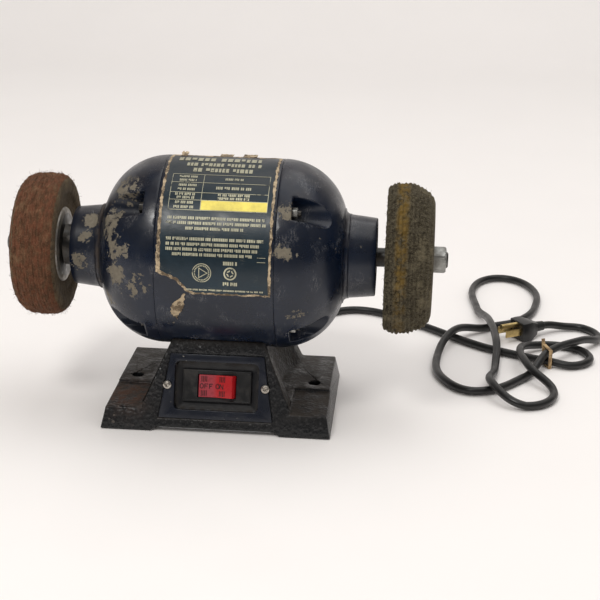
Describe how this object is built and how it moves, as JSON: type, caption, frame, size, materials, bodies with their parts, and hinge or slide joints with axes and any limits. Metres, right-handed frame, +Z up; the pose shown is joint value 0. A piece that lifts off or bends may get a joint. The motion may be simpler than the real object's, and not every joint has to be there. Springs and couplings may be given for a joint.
{
  "type": "bench grinder",
  "caption": "Bench grinder with a buffing wheel on each end of its shaft, on a cast pedestal with a rocker switch and a mains cord.",
  "frame": {"origin": "on the floor under the middle of the motor, halfway between the two ends of the shaft", "axes": "+X along the shaft towards the wheel on the right as seen from the switch, +Y away from the switch, +Z up"},
  "size_m": [0.5019, 0.4291, 0.2034],
  "materials": {
    "cast_black": "textured black paint, dusty",
    "housing_blue": "semi-gloss dark blue paint, scuffed",
    "plate_blue": "satin dark blue paint",
    "steel": "dull turned steel",
    "zinc": "dull zinc plate",
    "bright_steel": "ground bearing steel",
    "lamination": "stacked electrical steel",
    "copper": "enamelled copper wire",
    "aluminium": "cast",
    "brass": "stamped",
    "black_plastic": "moulded, fine grain",
    "red_plastic": "moulded, slightly translucent",
    "label": "printed film, torn at its edges",
    "cotton_brown": "frayed cotton loaded with compound",
    "cotton_grey": "matted cotton layers loaded with compound",
    "capacitor": "satin",
    "rubber": "satin",
    "tie": "paper-covered wire"
  },
  "bodies": {
    "housing": {"base": "cast_black", "base_cover": "lamination", "cover_screws": "zinc", "housing_bolts": "zinc", "switch_plate": "plate_blue", "plate_screws": "zinc", "switch_body": "black_plastic", "switch_terminals": "brass", "stator_shell": "housing_blue", "left_end_bell": "housing_blue", "right_end_bell": "housing_blue", "through_bolts": "zinc", "through_bolt_nuts": "zinc", "label": "label", "stator_core": "lamination", "stator_windings": "copper", "left_outer_race": "bright_steel", "right_outer_race": "bright_steel", "wave_spring": "steel", "capacitor": "capacitor", "capacitor_clip": "zinc", "clip_screws": "zinc", "strain_relief": "rubber", "power_cord": "rubber", "cord_tie": "tie", "plug_body": "rubber", "plug_blades": "brass"},
    "rotor": {"shaft": "steel", "rotor_core": "lamination", "rotor_cage": "aluminium", "left_inner_race": "bright_steel", "right_inner_race": "bright_steel", "left_inner_flange": "zinc", "left_wheel": "cotton_brown", "left_outer_flange": "zinc", "left_nut": "zinc", "right_inner_flange": "zinc", "right_wheel": "cotton_grey", "right_outer_flange": "zinc", "right_nut": "zinc"},
    "left_balls": {"left_ball_set": "bright_steel"},
    "right_balls": {"right_ball_set": "bright_steel"},
    "rocker": {"switch_rocker": "red_plastic"}
  },
  "joints": [
    {"name": "shaft_spin", "type": "hinge", "parent": "housing", "child": "rotor", "pos_m": [0, 0, 0.1286], "axis": [1, 0, 0], "continuous": true},
    {"name": "left_balls_spin", "type": "hinge", "parent": "housing", "child": "left_balls", "pos_m": [-0.1067, 0, 0.1286], "axis": [1, 0, 0], "continuous": true},
    {"name": "right_balls_spin", "type": "hinge", "parent": "housing", "child": "right_balls", "pos_m": [0.1067, 0, 0.1286], "axis": [1, 0, 0], "continuous": true},
    {"name": "rocker_tilt", "type": "hinge", "parent": "housing", "child": "rocker", "pos_m": [0, -0.0494, 0.03269], "axis": [0, 0.3007, 0.9537], "range_deg": [0, 18]}
  ],
  "couplings": [
    {"joint": "left_balls_spin", "follows": "shaft_spin", "ratio": 0.38},
    {"joint": "right_balls_spin", "follows": "shaft_spin", "ratio": 0.38}
  ]
}
